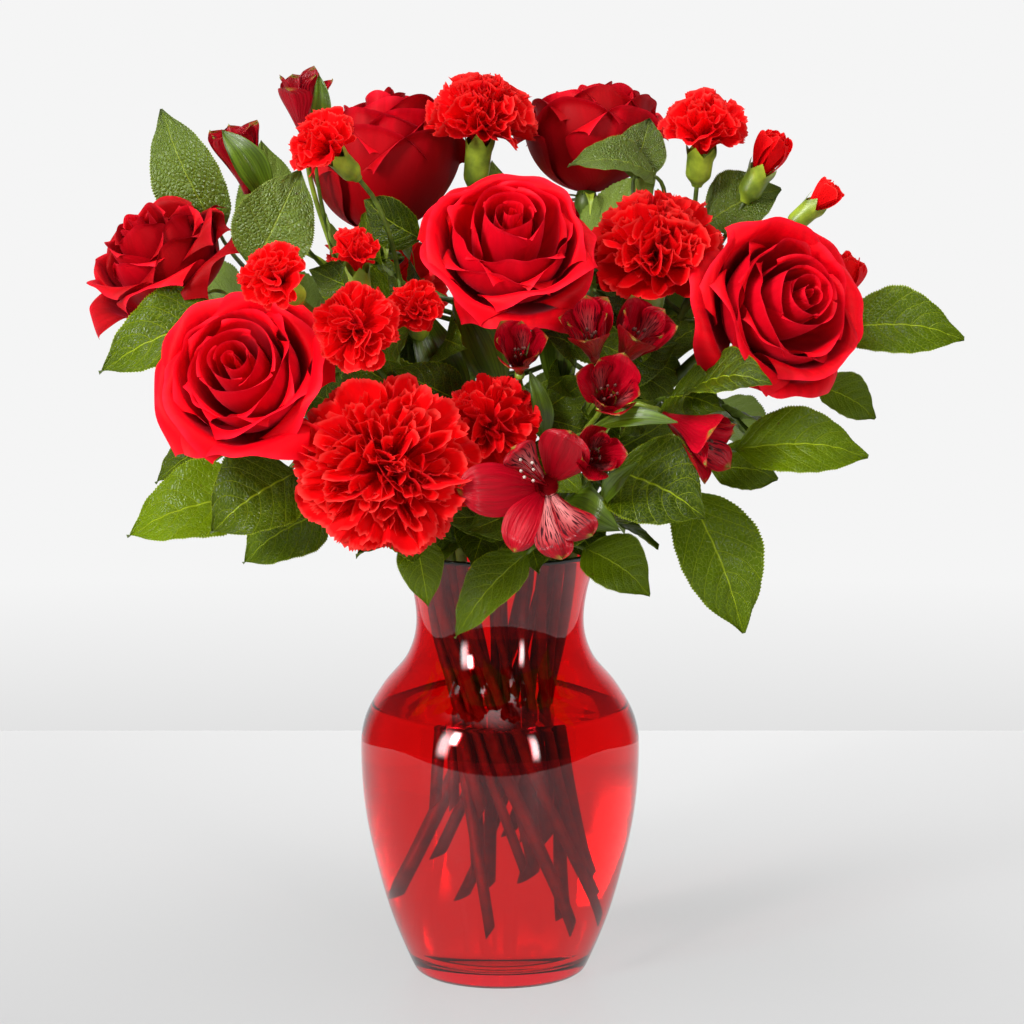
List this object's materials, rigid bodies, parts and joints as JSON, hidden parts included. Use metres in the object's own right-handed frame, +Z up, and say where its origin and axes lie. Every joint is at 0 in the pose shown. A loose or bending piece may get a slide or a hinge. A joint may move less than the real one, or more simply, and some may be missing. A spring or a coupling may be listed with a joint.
{
  "type": "mixed flower bouquet in a vase",
  "caption": "Red carnations, roses and alstroemeria with broad green foliage, standing in a red glass ginger-jar vase of water.",
  "frame": {"origin": "middle of the vase's flat foot, on the surface it stands on", "axes": "+Z up through the vase; the arrangement's front faces -Y; +X is to the viewer's right"},
  "size_m": [0.4084, 0.2813, 0.4263],
  "materials": {
    "glass": "clear red glass, polished",
    "water": "clear water",
    "rose_petal": "velvety deep red petal",
    "carnation_petal": "soft bright red petal with frilled edges",
    "lily_petal": "satin crimson petal with dark streaks",
    "leaf": "waxy leaf with raised veins",
    "stem": "smooth green stem"
  },
  "bodies": {
    "root": {"vase": "glass", "water": "water", "rose_front": "rose_petal", "rose_centre": "rose_petal", "rose_right": "rose_petal", "rose_left": "rose_petal", "rose_top_left": "rose_petal", "rose_top_right": "rose_petal", "rose_back": "rose_petal", "carnation_front": "carnation_petal", "carnation_right": "carnation_petal", "carnation_top": "carnation_petal", "carnation_back": "carnation_petal", "spray_left_1": "carnation_petal", "spray_left_2": "carnation_petal", "spray_left_3": "carnation_petal", "spray_left_4": "carnation_petal", "spray_left_5": "carnation_petal", "spray_right_1": "carnation_petal", "spray_front": "carnation_petal", "bud_right_1": "carnation_petal", "bud_right_2": "carnation_petal", "bud_right_3": "carnation_petal", "lily_top_1": "lily_petal", "lily_top_2": "lily_petal", "lily_mid_1": "lily_petal", "lily_mid_2": "lily_petal", "lily_mid_3": "lily_petal", "lily_mid_4": "lily_petal", "lily_low_1": "lily_petal", "lily_low_2": "lily_petal", "lily_low_3": "lily_petal", "rose_front_stem": "stem", "rose_centre_stem": "stem", "rose_right_stem": "stem", "rose_left_stem": "stem", "rose_top_left_stem": "stem", "rose_top_right_stem": "stem", "rose_back_stem": "stem", "carnation_front_stem": "stem", "carnation_right_stem": "stem", "carnation_top_stem": "stem", "carnation_back_stem": "stem", "spray_stem_left": "stem", "spray_stem_front": "stem", "spray_stem_right": "stem", "lily_stem_top": "stem", "lily_stem_mid": "stem", "lily_stem_low": "stem", "leaves_top_left": "leaf", "leaves_left": "leaf", "leaves_front_left": "leaf", "leaves_front": "leaf", "leaves_front_right": "leaf", "leaves_right": "leaf", "leaves_top_right": "leaf", "leaves_back_left": "leaf", "leaves_back_right": "leaf"}
  },
  "joints": []
}
